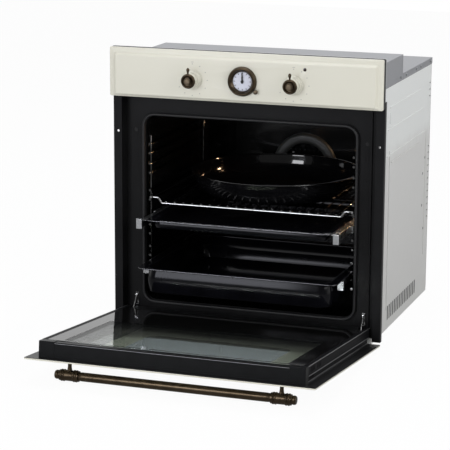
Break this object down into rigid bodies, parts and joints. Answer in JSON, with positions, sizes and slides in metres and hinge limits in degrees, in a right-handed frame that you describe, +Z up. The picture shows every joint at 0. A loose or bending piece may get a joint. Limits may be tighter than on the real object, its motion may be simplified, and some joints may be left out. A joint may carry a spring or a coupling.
{
  "type": "built-in oven",
  "caption": "Built-in oven with a drop-down glazed door, cream fascia with knobs and an analogue clock, side racks, wire shelf, round pan and pull-out trays",
  "frame": {"origin": "middle of the casing's underside, which stands on the cabinet's shelf", "axes": "+Z up, the front faces -Y, X runs across the front"},
  "size_m": [0.595, 0.9934, 0.609],
  "materials": {
    "cream_enamel": "gloss",
    "black_enamel": "gloss",
    "cream_plastic": "gloss",
    "bronze": "satin, aged",
    "dial_white": "satin",
    "hand_black": "satin",
    "clear_glass": "clear",
    "tinted_glass": "clear, tinted",
    "dark_plastic": "matte",
    "lamp_lens": "gloss",
    "seal_grey": "matte",
    "black_rubber": "matte",
    "mineral_wool": "fibrous",
    "zinc_steel": "galvanised, satin",
    "screw_steel": "plain",
    "chrome_wire": "polished",
    "runner_steel": "satin",
    "heater_steel": "oxidised",
    "lamp_ceramic": "matte",
    "alloy_profile": "satin",
    "black_trim": "satin"
  },
  "bodies": {
    "housing": {"front_frame": "black_enamel", "door_buffers": "black_rubber", "door_gasket": "seal_grey", "cavity_liner": "black_enamel", "insulation": "mineral_wool", "hinge_arms": "zinc_steel", "left_side_panel": "zinc_steel", "right_side_panel": "zinc_steel", "base_panel": "zinc_steel", "rear_panel": "zinc_steel", "rear_top_plate": "zinc_steel", "front_top_cover": "zinc_steel", "casing_screws": "screw_steel", "mains_inlet": "dark_plastic", "control_bracket": "zinc_steel", "control_fascia": "cream_enamel", "indicator_lamp": "lamp_lens", "clock_movement": "dark_plastic", "clock_dial": "dial_white", "clock_bezel": "bronze", "clock_lens": "clear_glass", "control_switches": "dark_plastic", "left_side_rack": "chrome_wire", "right_side_rack": "chrome_wire", "fixed_runners": "runner_steel", "fan_cover": "black_enamel", "fan_motor": "screw_steel", "ring_heater": "heater_steel", "grill_heater": "heater_steel", "bottom_heater": "heater_steel", "lamp_holder": "lamp_ceramic", "lamp_glass": "clear_glass", "temperature_probe": "heater_steel", "cooling_duct": "zinc_steel", "blower_motor": "screw_steel"},
    "door": {"door_outer_panel": "cream_enamel", "door_outer_glass": "tinted_glass", "door_middle_glass": "clear_glass", "door_inner_glass": "tinted_glass", "door_top_profile": "black_trim", "door_side_profiles": "alloy_profile", "door_bottom_profile": "black_trim", "door_hinges": "zinc_steel", "door_handle_bar": "bronze", "door_handle_mounts": "bronze"},
    "upper_tray": {"upper_tray": "black_enamel", "upper_runners": "runner_steel"},
    "lower_tray": {"lower_tray": "black_enamel", "lower_runners": "runner_steel"},
    "shelf": {"wire_shelf": "chrome_wire", "round_pan": "black_enamel"},
    "left_knob": {"left_knob": "cream_plastic", "left_knob_cap": "bronze"},
    "right_knob": {"right_knob": "cream_plastic", "right_knob_cap": "bronze"},
    "clock_knob": {"clock_setting_knob": "bronze"},
    "minute_hand": {"clock_minute_hand": "hand_black"},
    "hour_hand": {"clock_hour_hand": "hand_black"},
    "fan": {"fan_wheel": "zinc_steel"},
    "blower": {"blower_wheel": "alloy_profile"}
  },
  "joints": [
    {"name": "door_hinge", "type": "hinge", "parent": "housing", "child": "door", "pos_m": [0, -0.27, 0.03], "axis": [-1, 0, 0], "range_deg": [0, 84.5]},
    {"name": "upper_tray_slide", "type": "slide", "parent": "housing", "child": "upper_tray", "axis": [0, 1, 0], "range_m": [0, 0.093]},
    {"name": "lower_tray_slide", "type": "slide", "parent": "housing", "child": "lower_tray", "axis": [0, 1, 0], "range_m": [0, 0.103]},
    {"name": "shelf_slide", "type": "slide", "parent": "housing", "child": "shelf", "axis": [0, -1, 0], "range_m": [0, 0.012]},
    {"name": "left_knob_turn", "type": "hinge", "parent": "housing", "child": "left_knob", "pos_m": [-0.11, -0.3, 0.549], "axis": [0, 1, 0], "continuous": true},
    {"name": "right_knob_turn", "type": "hinge", "parent": "housing", "child": "right_knob", "pos_m": [0.11, -0.3, 0.549], "axis": [0, 1, 0], "range_deg": [0, 255]},
    {"name": "clock_set", "type": "hinge", "parent": "housing", "child": "clock_knob", "pos_m": [0.0305, -0.3, 0.531], "axis": [0, 1, 0], "continuous": true},
    {"name": "minute_hand_turn", "type": "hinge", "parent": "housing", "child": "minute_hand", "pos_m": [0, -0.298, 0.551], "axis": [0, 1, 0], "continuous": true},
    {"name": "hour_hand_turn", "type": "hinge", "parent": "housing", "child": "hour_hand", "pos_m": [0, -0.298, 0.551], "axis": [0, 1, 0], "continuous": true},
    {"name": "fan_spin", "type": "hinge", "parent": "housing", "child": "fan", "pos_m": [0, 0.18, 0.292], "axis": [0, 1, 0], "continuous": true},
    {"name": "blower_spin", "type": "hinge", "parent": "housing", "child": "blower", "pos_m": [0, 0.03, 0.518], "axis": [1, 0, 0], "continuous": true}
  ],
  "couplings": [
    {"joint": "upper_tray_slide", "follows": "door_hinge", "m_per_rad": 0.062381},
    {"joint": "lower_tray_slide", "follows": "door_hinge", "m_per_rad": 0.069162},
    {"joint": "minute_hand_turn", "follows": "clock_set", "ratio": 1},
    {"joint": "hour_hand_turn", "follows": "clock_set", "ratio": 0.083333}
  ]
}
